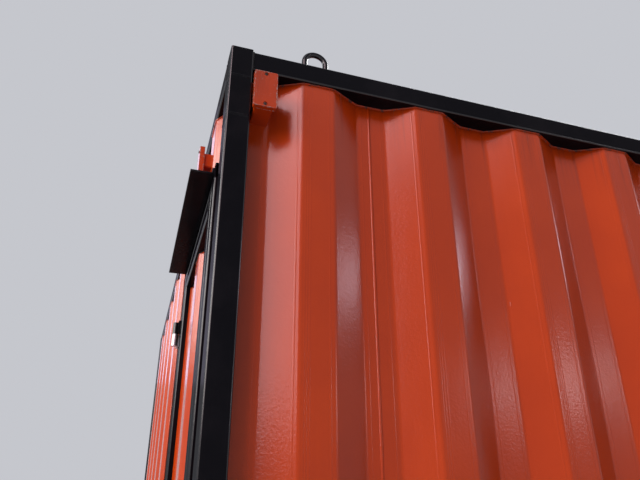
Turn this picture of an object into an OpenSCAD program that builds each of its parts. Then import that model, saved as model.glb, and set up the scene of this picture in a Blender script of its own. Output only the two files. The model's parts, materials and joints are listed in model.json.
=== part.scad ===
// Cabin made from a shipping container: a black tube frame with corrugated steel walls and a
// narrow steel door beside one corner post. Millimetres. Z is up and the underside is at z = 0.
// X runs along the length, and the door end faces -X. The origin is the middle of the base.

/* [Overall] */
// Outside length over the corner posts
length = 6058; // [2400:1:12200]
// Outside width over the corner posts
width = 2438; // [1800:1:3000]
// Height from the ground to the top of the post caps
height = 2591; // [2200:1:3100]

/* [Frame] */
// Width of the posts' faces on the long sides
post_w = 50; // [46:1:100]
// Width of the posts' faces on the ends
post_d = 60; // [56:1:100]
// Set-back of the long rails and of the door from the posts' faces
rail_set_back = 3; // [1:0.5:5]
// Height of the top rail tube
top_rail_h = 50; // [40:1:75]
// Height of the bottom rail tube
bottom_rail_h = 130; // [110:1:200]
// Wall of the frame tubes
tube_wall = 3; // [2:0.5:3]
// Outside radius of the frame tubes' corners
tube_r = 4; // [3.5:0.5:7]
// Thickness of the cap plate on each post, which stands above the rails
post_cap = 3; // [2:0.5:8]

/* [Corrugated sheet] */
// Thickness of the wall sheet
sheet = 2; // [1.5:0.1:3]
// Depth of the corrugation
corr_depth = 36; // [20:1:38]
// Width of the outer flats
flat_out = 72; // [40:1:110]
// Width of the inner flats
flat_in = 70; // [40:1:110]
// Width that each slope takes along the wall
slope_run = 68; // [18:1:85]
// Inside radius of the bends
bend_r = 16; // [4:1:18]
// Set-back of the outer flats from the posts' faces on the long sides
side_set_back = 12; // [10:0.5:14]
// Set-back of the outer flats from the posts' faces on the ends
end_set_back = 1; // [0.5:0.5:4]
// Width of the strip between the front posts and the first bend on the long sides
side_edge_flat = 46; // [46:1:120]

/* [Doorway] */
// Distance from the front corner to the lock side jamb
door_from_corner = 160; // [80:1:400]
// Clear width between the jambs
door_clear_w = 600; // [500:1:1000]
// Distance from the top of the posts down to the underside of the head
door_head_drop = 245; // [180:1:500]
// Width of the tubes of the leaf and of those round the doorway
door_tube = 40; // [30:1:60]
// Wall of the door tubes
door_tube_wall = 3; // [2:0.5:4]
// Outside radius of the door tubes' corners
door_tube_r = 4; // [3.5:0.5:5]
// Running gap all round the leaf
leaf_gap = 5; // [5:0.5:8]
// Thickness of the sill plate
sill_t = 6; // [4:0.5:12]
// Reach of the door stop behind the leaf
stop_lap = 10; // [6:1:20]
// Thickness of the door stop
stop_t = 5; // [3:0.5:8]
// Set-back of the leaf's sheet from the posts' faces
leaf_sheet_back = 12; // [6:0.5:20]

/* [Hinges] */
// Radius of the hinge barrels
knuckle_r = 9; // [8:0.5:11]
// Height of each hinge half
knuckle_h = 36; // [25:1:50]
// Radius of the hinge pins
pin_r = 5; // [4:0.5:6]
// Running clearance between a pin and its bore
pin_clear = 0.05; // [0.02:0.01:0.1]
// Distance of the hinge axis in front of the leaf
hinge_out = 14; // [12:0.5:20]
// Reach of a hinge's plate to the side of its axis
hinge_plate = 28; // [20:1:36]
// Distance from the leaf's top, or bottom, to the nearest hinge
hinge_from_end = 182; // [120:1:300]
// Gap between the two halves of a hinge
hinge_gap = 0.5; // [0.3:0.1:1]

/* [Rain hood] */
// Reach of the hood in front of the posts' faces
hood_out = 50; // [30:1:120]
// Length of the hood past the doorway at each side
hood_past = 20; // [0:1:40]
// Thickness of the hood plate
hood_t = 4; // [2:0.5:6]
// Height of the flange that fixes the hood to the head
hood_flange = 17; // [10:1:20]

/* [Door furniture] */
// Diameter of the bar of the pull handle
handle_bar = 12; // [10:1:16]
// Height of the handle between the middles of its two legs
handle_h = 160; // [100:1:250]
// Room between the handle's bar and the leaf
handle_room = 32; // [28:1:40]
// Height of the keyhole above the ground
lock_z = 1080; // [900:1:1300]

/* [Floor] */
// Height of the cross members
bearer_h = 100; // [80:1:105]
// Width of the cross members' flanges
bearer_w = 45; // [35:1:60]
// Thickness of the cross members' steel
bearer_t = 4; // [3:0.5:6]
// Distance between cross members
bearer_pitch = 420; // [250:1:600]
// Thickness of the floor boards
board_t = 28; // [12:1:30]
// Number of floor boards along the cabin
boards = 5; // [3:1:10]
// Gap between two floor boards
board_gap = 2; // [1:0.5:5]

/* [Roof] */
// Drop from the top of the rails to the top of the roof sheet
roof_drop = 7; // [6:1:20]
// Depth of the roof's corrugation
roof_depth = 20; // [10:1:25]
// Width of the roof's upper flats
roof_flat_up = 91; // [60:1:150]
// Width of the roof's lower flats
roof_flat_down = 91; // [60:1:150]
// Width that each slope of the roof takes
roof_run = 13.5; // [8:0.5:40]
// Inside radius of the roof's bends
roof_bend_r = 8; // [4:1:10]

/* [Lifting eyes] */
// Outside width of each arch
eye_w = 64; // [60:1:90]
// Diameter of the arch's bar
eye_bar = 13; // [10:1:16]
// Height of the arch's straight legs
eye_leg = 32; // [20:1:50]
// Distance of each arch from the end of the cabin
eye_from_end = 200; // [120:1:600]

/* [Wall boxes] */
// Width of the corner box's lid
corner_lid_w = 50; // [40:1:50]
// Height of the corner box's lid
corner_lid_h = 92; // [60:1:100]
// Distance from the top of the posts to the top of the corner box's lid
corner_lid_drop = 77; // [72:1:120]
// Reach of the corner box's body in front of the posts' faces
corner_box_out = 15; // [10:1:40]
// Width of the door box's lid
door_lid_w = 40; // [30:1:50]
// Height of the door box's lid
door_lid_h = 72; // [60:1:80]
// Height of the door box's body
door_box_h = 38; // [30:1:50]
// Distance from the door head up to the door box's lid
door_lid_rise = 22; // [5:1:50]
// Reach of the door box's body in front of the posts' faces
door_box_out = 17; // [10:1:40]
// Thickness of the lids
lid_t = 12; // [8:1:20]
// Overhang of a lid at the edges of its box
lid_lap = 5; // [5:0.5:8]
// Distance between the corner box's lid and the post's side
lid_gap = 0.5; // [0.5:0.5:5]
// Radius of the box and lid corners
box_r = 4; // [3.5:0.5:6]
// Wall of the box body
box_wall = 3; // [2:0.5:3]

/* [Hidden] */

BLACK = [0.11, 0.11, 0.13];
ORANGE = [0.80, 0.28, 0.13];
ZINC = [0.72, 0.72, 0.74];
WOOD = [0.60, 0.45, 0.30];
ROUND = 48;
BEND_STEPS = 4;

// Levels, and the depth of the long rails, whose inner faces are in line with the posts'
rail_top = height - post_cap;
rail_under = rail_top - top_rail_h;
skin_bottom = bottom_rail_h;
rail_d = post_d - rail_set_back;

// Corrugation. The ends have as many outer flats as fit between the posts, set symmetrically.
pitch = flat_out + flat_in + 2 * slope_run;
edge_min = 10;
end_room = width - 2 * post_d - flat_out - 2 * slope_run - 2 * edge_min;
end_flats = 1 + floor(end_room / pitch);
end_first_flat = (width - (end_flats - 1) * pitch - flat_out) / 2;
bend_reach = bend_r * tan(atan(corr_depth / slope_run) / 2);
side_first_flat = post_w + side_edge_flat + bend_reach + slope_run;
side_room = length - post_w - side_first_flat - flat_out - slope_run - edge_min;
side_flats = 1 + floor(side_room / pitch);

// Doorway, with s measured along the front end from the front right corner. The leaf's tubes are
// as deep as the sheet that they frame, and the jambs and the head reach back past the door stop.
leaf_d = leaf_sheet_back + corr_depth + sheet - rail_set_back;
stop_x = leaf_d + leaf_gap;
jamb_d = stop_x + stop_t;
jamb_lock_s = door_from_corner;
clear_lo = jamb_lock_s + door_tube;
clear_hi = clear_lo + door_clear_w;
jamb_hinge_end = clear_hi + door_tube;
head_under = height - door_head_drop;
head_top = head_under + door_tube;
sill_top = bottom_rail_h + sill_t;
leaf_lo = clear_lo + leaf_gap;
leaf_hi = clear_hi - leaf_gap;
leaf_bottom = sill_top + leaf_gap;
leaf_top = head_under - leaf_gap;
hinge_s = clear_hi - leaf_gap / 2;
hinge_x = rail_set_back - hinge_out;
hinge_low = leaf_bottom + hinge_from_end;
hinge_high = leaf_top - hinge_from_end;
hinge_z = [hinge_low, (hinge_low + hinge_high) / 2, hinge_high];

// A rectangle with round corners, from the origin
module round_rect(w, h, r) {
    translate([r, 0]) square([w - 2 * r, h]);
    translate([0, r]) square([w, h - 2 * r]);
    for (x = [r, w - r], y = [r, h - r]) translate([x, y]) circle(r, $fn = ROUND);
}

// The section of a rectangular tube
module tube_section(w, h, r, wall) {
    difference() {
        round_rect(w, h, r);
        translate([wall, wall]) round_rect(w - 2 * wall, h - 2 * wall, r - wall);
    }
}

// Tubes along each axis, each from the corner of its own box
module tube_z(w, d, l, r, wall) linear_extrude(l) tube_section(w, d, r, wall);
module tube_x(l, d, h, r, wall)
    rotate([90, 0, 90]) linear_extrude(l) tube_section(d, h, r, wall);
module tube_y(w, l, h, r, wall)
    translate([0, l, 0]) rotate([90, 0, 0]) linear_extrude(l) tube_section(w, h, r, wall);

// The bends of a corrugated line with n outer flats, along its outer face. Each is [s, depth,
// direction before, direction after], and a direction above 0 goes inwards.
function bends(first, n, step, top, run, depth) =
    let (slope = atan(depth / run))
    [for (k = [0 : n - 1]) let (s = first + k * step)
        each [[s - run, depth, 0, -slope], [s, 0, -slope, 0],
            [s + top, 0, 0, slope], [s + top + run, depth, slope, 0]]];

function along(angle) = [cos(angle), sin(angle)];
function across(angle) = [-sin(angle), cos(angle)];

// One face of a bend as an arc. The outer face has the radius outer, which places the centre, and
// the arc is drawn with the radius r about it.
function bend_arc(bend, outer, r) =
    let (turn = bend[3] - bend[2])
    let (centre = [bend[0], bend[1]] - along(bend[2]) * outer * tan(abs(turn) / 2)
        + across(bend[2]) * outer * sign(turn))
    [for (i = [0 : BEND_STEPS]) centre - across(bend[2] + turn * i / BEND_STEPS) * r * sign(turn)];

function reversed(list) = [for (i = [len(list) - 1 : -1 : 0]) list[i]];

// Depth of that line at s: nothing on an outer flat, and full past the slopes beside it
function depth_at(s, first, n, step, top, run, depth) =
    let (past = min([for (k = [0 : n - 1]) max(first + k * step - s, s - first - k * step - top)]))
    depth * max(0, min(1, past / run));

// The closed outline of a corrugated sheet of one thickness from s0 to s1, as points of s and
// depth. Both faces of a bend share their centre, so the sheet keeps its thickness round it.
function sheet_outline(s0, s1, first, n, step, top, run, depth, t, r) =
    let (slope = atan(depth / run))
    let (margin = 2 * (r + t) * tan(slope / 2))
    let (inside = [for (b = bends(first, n, step, top, run, depth))
        if (b[0] > s0 + margin && b[0] < s1 - margin) b])
    let (outer = [for (b = inside) r + (b[3] > b[2] ? t : 0)])
    let (inner = [for (b = inside) r + (b[3] > b[2] ? 0 : t)])
    let (d0 = depth_at(s0, first, n, step, top, run, depth))
    let (d1 = depth_at(s1, first, n, step, top, run, depth))
    let (t0 = d0 > 0 && d0 < depth ? t / cos(slope) : t)
    let (t1 = d1 > 0 && d1 < depth ? t / cos(slope) : t)
    concat(
        [[s0, d0]],
        [for (i = [0 : len(inside) - 1]) each bend_arc(inside[i], outer[i], outer[i])],
        [[s1, d1], [s1, d1 + t1]],
        [for (i = [len(inside) - 1 : -1 : 0]) each reversed(bend_arc(inside[i], outer[i], inner[i]))],
        [[s0, d0 + t0]]
    );

function wall_outline(s0, s1, first, n) =
    sheet_outline(s0, s1, first, n, pitch, flat_out, slope_run, corr_depth, sheet, bend_r);

// A piece of the front end's skin, from s0 to s1 and z0 to z1, with its outer flats at the depth x
module front_skin(x, s0, s1, z0, z1) {
    outline = wall_outline(s0, s1, end_first_flat, end_flats);
    translate([x, 0, z0]) linear_extrude(z1 - z0)
        polygon([for (p = outline) [p[1], p[0]]]);
}

// The skin of the right side, which faces -Y
module side_skin() {
    outline = wall_outline(post_w, length - post_w, side_first_flat, side_flats);
    translate([0, side_set_back, skin_bottom]) linear_extrude(rail_under - skin_bottom)
        polygon(outline);
}

// The corner at the origin of the box that the frame fills
module in_place() translate([-length / 2, -width / 2, 0]) children();
module to_left() translate([0, width, 0]) mirror([0, 1, 0]) children();
module to_rear() translate([length, 0, 0]) mirror([1, 0, 0]) children();

module corner_post() color(BLACK) {
    tube_z(post_w, post_d, height - post_cap, tube_r, tube_wall);
    translate([0, 0, height - post_cap]) linear_extrude(post_cap)
        round_rect(post_w, post_d, tube_r);
}

module long_rail(z, h) color(BLACK)
    translate([post_w, rail_set_back, z])
        tube_x(length - 2 * post_w, rail_d, h, tube_r, tube_wall);

module cross_rail(z, h) color(BLACK)
    translate([0, post_d, z]) tube_y(post_w, width - 2 * post_d, h, tube_r, tube_wall);

module corner_post_front_right() in_place() corner_post();
module corner_post_front_left() in_place() to_left() corner_post();
module corner_post_rear_right() in_place() to_rear() corner_post();
module corner_post_rear_left() in_place() to_rear() to_left() corner_post();
module top_rail_right() in_place() long_rail(rail_under, top_rail_h);
module top_rail_left() in_place() to_left() long_rail(rail_under, top_rail_h);
module top_rail_front() in_place() cross_rail(rail_under, top_rail_h);
module top_rail_rear() in_place() to_rear() cross_rail(rail_under, top_rail_h);
module bottom_rail_right() in_place() long_rail(0, bottom_rail_h);
module bottom_rail_left() in_place() to_left() long_rail(0, bottom_rail_h);
module bottom_rail_front() in_place() cross_rail(0, bottom_rail_h);
module bottom_rail_rear() in_place() to_rear() cross_rail(0, bottom_rail_h);

// One channel across the floor, with its back on the side of -X
module bearer() {
    difference() {
        cube([bearer_w, width - 2 * post_d, bearer_h]);
        translate([bearer_t, -1, bearer_t])
            cube([bearer_w, width - 2 * post_d + 2, bearer_h - 2 * bearer_t]);
    }
}

module floor_cross_members() in_place() color(BLACK) {
    each_side = floor((length / 2 - post_w - bearer_w) / bearer_pitch);
    for (i = [-each_side : each_side])
        translate([length / 2 + i * bearer_pitch - bearer_w / 2, post_d, 0]) bearer();
}

module floor_boards() in_place() color(WOOD) {
    room = length - 2 * post_w;
    board_l = (room - (boards - 1) * board_gap) / boards;
    for (i = [0 : boards - 1])
        translate([post_w + i * (board_l + board_gap), post_d, bearer_h])
            cube([board_l, width - 2 * post_d, board_t]);
}

module side_wall_right() in_place() color(ORANGE) side_skin();
module side_wall_left() in_place() to_left() color(ORANGE) side_skin();
module rear_wall() in_place() to_rear() color(ORANGE)
    front_skin(end_set_back, post_d, width - post_d, skin_bottom, rail_under);
module front_wall_beside_door() in_place() color(ORANGE)
    front_skin(end_set_back, post_d, jamb_lock_s, skin_bottom, rail_under);
module front_wall_over_door() in_place() color(ORANGE)
    front_skin(end_set_back, jamb_lock_s, jamb_hinge_end, head_top, rail_under);
module front_wall_main() in_place() color(ORANGE)
    front_skin(end_set_back, jamb_hinge_end, width - post_d, skin_bottom, rail_under);

module roof_sheet() in_place() color(ORANGE) {
    step = roof_flat_up + roof_flat_down + 2 * roof_run;
    room = length - 4 * post_w - roof_flat_up - 2 * roof_run;
    flats = 1 + floor(room / step);
    first = (length - (flats - 1) * step - roof_flat_up) / 2;
    outline = sheet_outline(post_w, length - post_w, first, flats, step,
        roof_flat_up, roof_run, roof_depth, sheet, roof_bend_r);
    translate([0, width - post_d, rail_top - roof_drop]) rotate([90, 0, 0])
        linear_extrude(width - 2 * post_d) polygon([for (p = outline) [p[0], -p[1]]]);
}

// The upright of the door frame on the lock side, with the flat bar that stops the leaf
module jamb() {
    tube_z(jamb_d, door_tube, head_under - bottom_rail_h, door_tube_r, door_tube_wall);
    translate([stop_x, door_tube - door_tube_wall, sill_t])
        cube([stop_t, door_tube_wall + leaf_gap + stop_lap, head_under - sill_top]);
}

module door_jamb_lock_side() in_place() color(BLACK)
    translate([rail_set_back, jamb_lock_s, bottom_rail_h]) jamb();
module door_jamb_hinge_side() in_place() color(BLACK)
    translate([rail_set_back, jamb_hinge_end, bottom_rail_h]) mirror([0, 1, 0]) jamb();

module door_head() in_place() color(BLACK) {
    stop_s = clear_lo + leaf_gap + stop_lap;
    translate([rail_set_back, jamb_lock_s, head_under])
        tube_y(jamb_d, jamb_hinge_end - jamb_lock_s, door_tube, door_tube_r, door_tube_wall);
    translate([rail_set_back + stop_x, stop_s, head_under - leaf_gap - stop_lap])
        cube([stop_t, door_clear_w - 2 * (leaf_gap + stop_lap),
            leaf_gap + stop_lap + door_tube_wall]);
}

module door_sill() in_place() color(BLACK)
    translate([rail_set_back, clear_lo, bottom_rail_h]) cube([jamb_d, door_clear_w, sill_t]);

// An angle with its short flange up against the head
module rain_hood() in_place() color(BLACK) {
    hood_l = door_clear_w + 2 * hood_past;
    reach = hood_out + rail_set_back;
    translate([-hood_out, clear_lo - hood_past, head_top - hood_flange - hood_t / 2]) {
        cube([reach, hood_l, hood_t]);
        translate([reach - hood_t, 0, 0]) cube([hood_t, hood_l, hood_flange]);
    }
}

// The barrel of half a hinge at the hinge axis, and the plate that joins it to the door or the
// frame, on the side of -Y
module knuckle() {
    cylinder(h = knuckle_h, r = knuckle_r, $fn = ROUND);
    translate([knuckle_r - 4, -hinge_plate, 0])
        cube([hinge_out - knuckle_r + 4, hinge_plate - leaf_gap / 2 - 1, knuckle_h]);
}

module hinge_frame_halves() in_place() color(ZINC)
    for (z = hinge_z) translate([hinge_x, hinge_s, z - hinge_gap / 2]) {
        translate([0, 0, -knuckle_h]) mirror([0, 1, 0]) knuckle();
        translate([0, 0, -1]) cylinder(h = knuckle_h - 4, r = pin_r, $fn = ROUND);
    }

module hinge_leaf_halves() in_place() color(BLACK)
    for (z = hinge_z) translate([hinge_x, hinge_s, z + hinge_gap / 2])
        difference() {
            knuckle();
            translate([0, 0, -1])
                cylinder(h = knuckle_h - 2, r = pin_r + pin_clear, $fn = ROUND);
        }

module leaf_stile() color(BLACK)
    tube_z(leaf_d, door_tube, leaf_top - leaf_bottom, door_tube_r, door_tube_wall);

module leaf_rail() color(BLACK)
    tube_y(leaf_d, leaf_hi - leaf_lo - 2 * door_tube, door_tube, door_tube_r, door_tube_wall);

module leaf_stile_lock_side() in_place()
    translate([rail_set_back, leaf_lo, leaf_bottom]) leaf_stile();
module leaf_stile_hinge_side() in_place()
    translate([rail_set_back, leaf_hi - door_tube, leaf_bottom]) leaf_stile();
module leaf_top_rail() in_place()
    translate([rail_set_back, leaf_lo + door_tube, leaf_top - door_tube]) leaf_rail();
module leaf_bottom_rail() in_place()
    translate([rail_set_back, leaf_lo + door_tube, leaf_bottom]) leaf_rail();

module leaf_infill() in_place() color(ORANGE)
    front_skin(leaf_sheet_back, leaf_lo + door_tube, leaf_hi - door_tube,
        leaf_bottom + door_tube, leaf_top - door_tube);

// One leg of the handle, from the leaf to the bar, with the bend between them
module handle_leg(bar_x, bend) {
    translate([bar_x + bend, 0, 0]) rotate([0, 90, 0])
        cylinder(h = -bar_x - bend, d = handle_bar, $fn = ROUND);
    translate([bar_x + bend, 0, bend]) rotate([90, 0, 0]) rotate([0, 0, 180])
        rotate_extrude(angle = 90, $fn = ROUND)
            translate([bend, 0]) circle(d = handle_bar, $fn = ROUND);
}

// A round bar bent to a C, with its two feet on the lock stile
module door_handle() in_place() color(BLACK) {
    bend = 1.5 * handle_bar;
    bar_x = -(handle_room + handle_bar / 2);
    translate([rail_set_back, leaf_lo + door_tube / 2, lock_z + 90]) {
        translate([bar_x, 0, bend])
            cylinder(h = handle_h - 2 * bend, d = handle_bar, $fn = ROUND);
        handle_leg(bar_x, bend);
        translate([0, 0, handle_h]) mirror([0, 0, 1]) handle_leg(bar_x, bend);
    }
}

// A cover plate with the key cylinder in its middle
module door_lock() in_place() color(ZINC) {
    plate_w = 30;
    plate_h = 90;
    plate_t = 3;
    translate([rail_set_back - plate_t, leaf_lo + door_tube / 2, lock_z]) {
        translate([0, -plate_w / 2, -plate_h / 2]) cube([plate_t, plate_w, plate_h]);
        translate([-5, 0, 0]) rotate([0, 90, 0]) cylinder(h = 6, r = 9, $fn = ROUND);
    }
}

// A round bar bent to an arch, with its two legs on the rail
module lifting_eye() {
    arch_r = (eye_w - eye_bar) / 2;
    for (x = [-arch_r, arch_r]) translate([x, 0, 0])
        cylinder(h = eye_leg, d = eye_bar, $fn = ROUND);
    translate([0, 0, eye_leg]) rotate([90, 0, 0]) rotate_extrude(angle = 180, $fn = ROUND)
        translate([arch_r, 0]) circle(d = eye_bar, $fn = ROUND);
}

module lifting_eyes() in_place() color(BLACK) {
    middle = rail_set_back + rail_d / 2;
    for (x = [eye_from_end, length - eye_from_end], y = [middle, width - middle])
        translate([x, y, rail_top]) lifting_eye();
}

// A block with round corners that faces -Y and is t deep behind y = 0
module facing_block(w, h, t) translate([0, t, 0]) rotate([90, 0, 0])
    linear_extrude(t) round_rect(w, h, box_r);

// The body of a box, open at y = 0, with its back on the wall
module box_body(w, h, t) {
    difference() {
        facing_block(w, h, t);
        translate([box_wall, -1, box_wall])
            cube([w - 2 * box_wall, t - box_wall + 1, h - 2 * box_wall]);
    }
}

// What faces -Y and is w wide, turned to face -X with its middle at the origin
module on_front(w) rotate([0, 0, -90]) translate([-w / 2, 0, 0]) children();

// The corner box stands on the strip beside the post
corner_lid_x = post_w + lid_gap;
corner_lid_z = height - corner_lid_drop - corner_lid_h;

module corner_box() in_place() color(ORANGE)
    translate([corner_lid_x + lid_lap, -corner_box_out, corner_lid_z + lid_lap])
        box_body(corner_lid_w - 2 * lid_lap, corner_lid_h - 2 * lid_lap,
            corner_box_out + side_set_back + corr_depth);
module corner_box_lid() in_place() color(ORANGE)
    translate([corner_lid_x, -corner_box_out - lid_t, corner_lid_z])
        facing_block(corner_lid_w, corner_lid_h, lid_t);

// The door box stands on the first outer flat, at the edge away from the corner
door_box_s = end_first_flat + flat_out - door_lid_w / 2;
door_lid_z = head_top + door_lid_rise;

module door_box() in_place() color(ORANGE)
    translate([-door_box_out, door_box_s, door_lid_z + (door_lid_h - door_box_h) / 2])
        on_front(door_lid_w - 2 * lid_lap)
            box_body(door_lid_w - 2 * lid_lap, door_box_h, door_box_out + end_set_back);
module door_box_lid() in_place() color(ORANGE)
    translate([-door_box_out - lid_t, door_box_s, door_lid_z])
        on_front(door_lid_w) facing_block(door_lid_w, door_lid_h, lid_t);

corner_post_front_right();
corner_post_front_left();
corner_post_rear_right();
corner_post_rear_left();
top_rail_right();
top_rail_left();
top_rail_front();
top_rail_rear();
bottom_rail_right();
bottom_rail_left();
bottom_rail_front();
bottom_rail_rear();
floor_cross_members();
floor_boards();
side_wall_right();
side_wall_left();
rear_wall();
front_wall_beside_door();
front_wall_over_door();
front_wall_main();
roof_sheet();
door_jamb_lock_side();
door_jamb_hinge_side();
door_head();
door_sill();
rain_hood();
hinge_frame_halves();
lifting_eyes();
corner_box();
corner_box_lid();
door_box();
door_box_lid();
leaf_stile_lock_side();
leaf_stile_hinge_side();
leaf_top_rail();
leaf_bottom_rail();
leaf_infill();
hinge_leaf_halves();
door_handle();
door_lock();
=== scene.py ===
# %% [markdown]
# # A cabin made from a shipping container
# The building is a tube frame painted black, with corrugated steel sheets painted orange-red
# between the tubes, and a narrow steel door beside one corner post. The shapes come from the
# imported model, which stays as it is. This lesson gives each piece its finish, adds the small things
# that a fabricator adds to such a frame, such as welds and screws, and sets up the studio.

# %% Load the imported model
import json
import math
import random
from functools import reduce

import bmesh
import bpy
from mathutils import Matrix, Vector


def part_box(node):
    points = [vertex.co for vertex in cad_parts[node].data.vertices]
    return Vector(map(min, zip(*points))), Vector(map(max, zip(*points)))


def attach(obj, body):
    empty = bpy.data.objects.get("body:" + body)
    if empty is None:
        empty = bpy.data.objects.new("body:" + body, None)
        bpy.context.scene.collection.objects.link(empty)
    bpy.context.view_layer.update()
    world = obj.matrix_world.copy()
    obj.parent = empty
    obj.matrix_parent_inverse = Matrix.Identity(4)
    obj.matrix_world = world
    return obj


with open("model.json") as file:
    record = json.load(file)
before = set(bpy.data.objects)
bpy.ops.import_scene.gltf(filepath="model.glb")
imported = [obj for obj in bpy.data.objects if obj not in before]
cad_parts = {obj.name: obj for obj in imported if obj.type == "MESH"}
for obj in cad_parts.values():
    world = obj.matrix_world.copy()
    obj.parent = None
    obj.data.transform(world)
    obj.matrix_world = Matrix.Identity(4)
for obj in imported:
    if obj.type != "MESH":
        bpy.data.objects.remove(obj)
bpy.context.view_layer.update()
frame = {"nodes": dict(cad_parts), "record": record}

nodes = frame["nodes"]
scene = bpy.context.scene


def short(point, places=3):
    """A point's coordinates, rounded for printing."""
    return [round(v, places) for v in point]


# %% [markdown]
# ## Camera
# The photograph was taken from about a metre in front of one corner, looking up at it. The corner
# and the lines of the two walls fix where the camera stood and how it was turned, so the render can
# be laid over the photograph. The corner post is the nearest piece, so the camera is placed from
# that corner: a little beyond it on the side of the door, and a metre in front of the long wall.

# %% Place the camera at the photograph's viewing angle
FRAME_W, FRAME_H = 640, 480
FOCAL_PX = 589.8
AXIS_PX = (337.5, 250.7)
RISE, YAW, ROLL = math.radians(24.57), math.radians(19.09), math.radians(-0.72)
BEYOND_CORNER, BEFORE_WALL, BELOW_TOP = 0.1095, 1.009, 0.950
SENSOR_MM = 36

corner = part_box("corner_post_front_right")[0]
rail_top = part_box("top_rail_right")[1].z
camera_at = Vector((corner.x - BEYOND_CORNER, corner.y - BEFORE_WALL, rail_top - BELOW_TOP))

forward = Vector((math.sin(YAW) * math.cos(RISE), math.cos(YAW) * math.cos(RISE), math.sin(RISE)))
level = Vector((math.cos(YAW), -math.sin(YAW), 0))
above = level.cross(forward)
right = math.cos(ROLL) * level + math.sin(ROLL) * above
up = math.cos(ROLL) * above - math.sin(ROLL) * level

camera = bpy.data.objects.new("camera", bpy.data.cameras.new("camera"))
scene.collection.objects.link(camera)
turned = Matrix((right, up, -forward)).transposed().to_4x4()
camera.matrix_world = Matrix.Translation(camera_at) @ turned
camera.data.sensor_width = SENSOR_MM
camera.data.lens = FOCAL_PX * SENSOR_MM / FRAME_W
camera.data.shift_x = (FRAME_W / 2 - AXIS_PX[0]) / FRAME_W
camera.data.shift_y = (AXIS_PX[1] - FRAME_H / 2) / FRAME_W
camera.data.clip_start = 0.05
scene.camera = camera
print("camera at", short(camera_at), "lens", round(camera.data.lens, 2), "mm")


# %% Where the top of the corner post falls in the picture
def pixel(point):
    """Where a point of the model falls in the 640 by 480 picture."""
    seen = camera.matrix_world.inverted() @ Vector(point)
    return short((AXIS_PX[0] - FOCAL_PX * seen.x / seen.z, AXIS_PX[1] + FOCAL_PX * seen.y / seen.z), 1)


print("top of the corner post at pixel", pixel((corner.x, corner.y, rail_top)))


# %% [markdown]
# ## Helpers for node trees
# A finish, the world and a geometry modifier are all small trees of nodes. Written one node at a
# time, a formula such as `1 - mask * 0.3` takes a dozen lines. So a socket is wrapped in a class
# that knows the usual operators: the formula is written as it is read, and each operator adds its
# Math node.

# %% A socket that can be calculated with
class Wire:
    """An output socket. Each operator on it adds the Math node that works it out."""

    def __init__(self, owner, socket):
        self.owner = owner
        self.socket = socket

    def maths(self, operation, *values):
        return self.owner.add("ShaderNodeMath", {"operation": operation}, dict(enumerate(values)))

    def __add__(self, other):
        return self.maths("ADD", self, other)

    def __radd__(self, other):
        return self.maths("ADD", other, self)

    def __sub__(self, other):
        return self.maths("SUBTRACT", self, other)

    def __rsub__(self, other):
        return self.maths("SUBTRACT", other, self)

    def __mul__(self, other):
        return self.maths("MULTIPLY", self, other)

    def __rmul__(self, other):
        return self.maths("MULTIPLY", other, self)

    def __truediv__(self, other):
        return self.maths("DIVIDE", self, other)

    def __rtruediv__(self, other):
        return self.maths("DIVIDE", other, self)

    def larger(self, other):
        return self.maths("MAXIMUM", self, other)

    def smaller(self, other):
        return self.maths("MINIMUM", self, other)

    def above(self, limit):
        return self.maths("GREATER_THAN", self, limit)

    def size(self):
        return self.maths("ABSOLUTE", self)

    def fraction(self):
        """What is left after whole numbers are taken away, which repeats a pattern."""
        return self.maths("FRACT", self)

    def between(self, low, high):
        """0 below low and 1 above high, with a soft change between them."""
        return self.owner.add("ShaderNodeMapRange", {"interpolation_type": "SMOOTHSTEP"},
                              {"Value": self, "From Min": low, "From Max": high})


# %% [markdown]
# Every other node comes from one method. It takes the node's type, its settings, and a value or a
# wire for each of its sockets, and returns one of its outputs as a wire. Most finishes repeat the
# same few nodes, so those have short names of their own.

# %% A tree, and the one method that adds nodes to it
class Nodes:
    """A node tree. add() makes any node from its type, its settings and its sockets' values."""

    def __init__(self, tree):
        self.tree = tree

    def add(self, kind, settings=None, sockets=None, output=0):
        node = self.tree.nodes.new(kind)
        for name, value in (settings or {}).items():
            setattr(node, name, value)
        self.feed(node, sockets or {})
        return Wire(self, node.outputs[output])

    def feed(self, node, sockets):
        for name, value in sockets.items():
            if isinstance(value, Wire):
                self.tree.links.new(value.socket, node.inputs[name])
            else:
                node.inputs[name].default_value = value

    def mixed(self, first, second, share):
        """From the first colour to the second, as share goes from 0 to 1."""
        return self.add("ShaderNodeMix", {"data_type": "RGBA"}, {0: share, 6: first, 7: second}, output=2)

    def seen(self):
        """1 for what the camera sees, also in a mirror or through glass, and 0 for plain light."""
        kinds = ("Is Camera Ray", "Is Glossy Ray", "Is Transmission Ray")
        return reduce(Wire.larger, [self.add("ShaderNodeLightPath", output=kind) for kind in kinds])


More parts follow.
